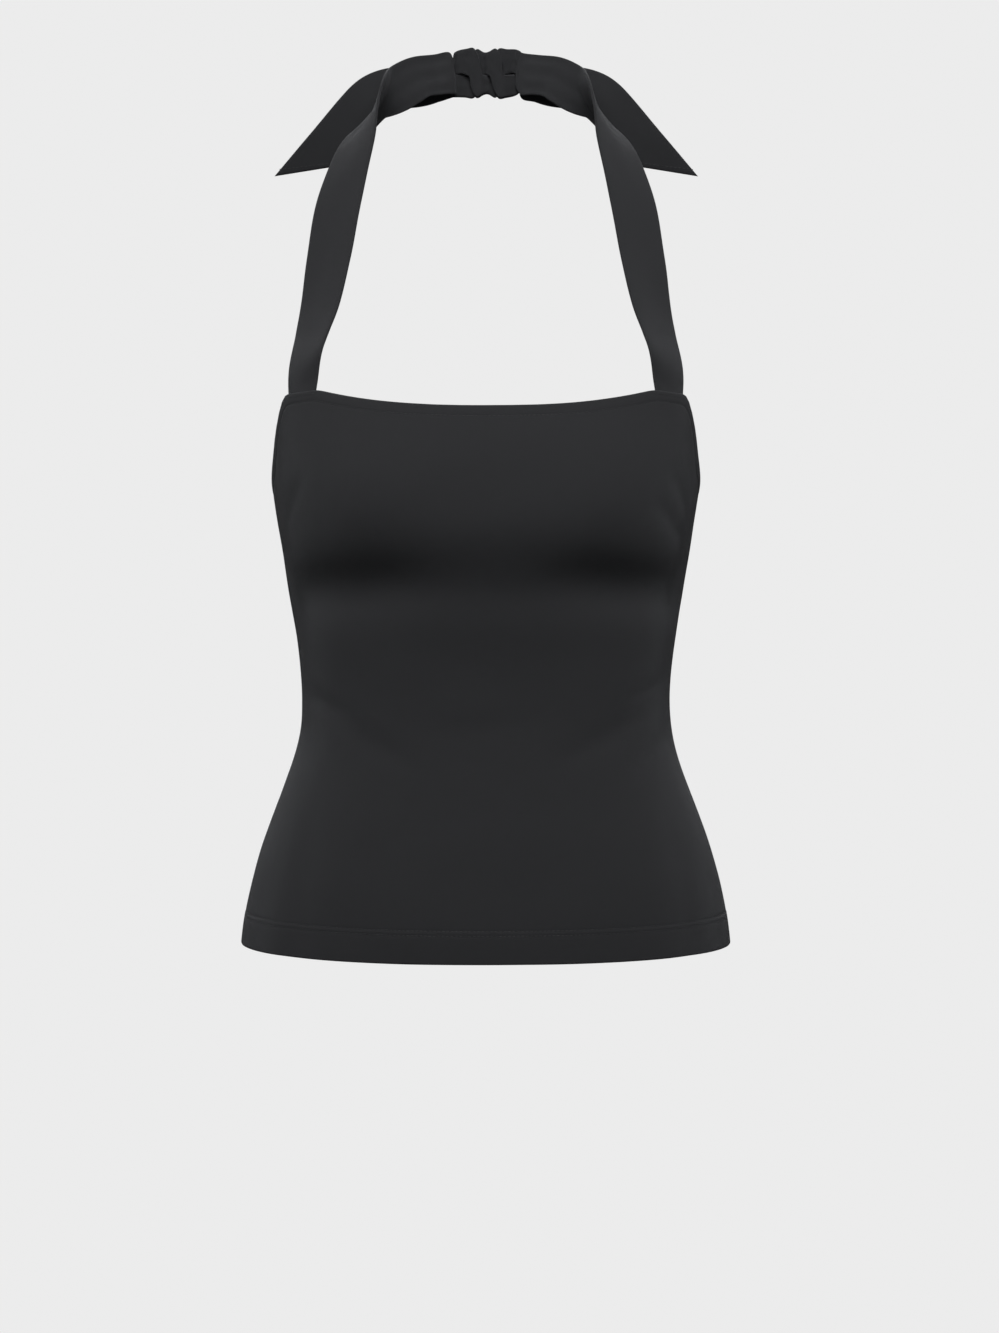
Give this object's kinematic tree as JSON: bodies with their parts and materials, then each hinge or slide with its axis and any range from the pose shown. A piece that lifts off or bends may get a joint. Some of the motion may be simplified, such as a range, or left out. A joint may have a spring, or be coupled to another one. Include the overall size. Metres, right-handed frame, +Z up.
{
  "type": "halter neck top",
  "caption": "Fitted halter neck top with a square neckline, a low straight back, a flared hem and two broad ties knotted behind the neck, filled out as worn.",
  "frame": {"origin": "inner face of the knot at the nape, where the wearer's neck holds the top", "axes": "+Z up, +Y towards the wearer's back, +X towards the wearer's left"},
  "size_m": [0.3332, 0.2249, 0.6169],
  "materials": {
    "front_jersey": "matt",
    "back_jersey": "matt",
    "tie_left_jersey": "matt",
    "tie_right_jersey": "matt"
  },
  "bodies": {
    "root": {"front_panel": "front_jersey", "back_panel": "back_jersey", "tie_left": "tie_left_jersey", "tie_right": "tie_right_jersey"}
  },
  "joints": []
}
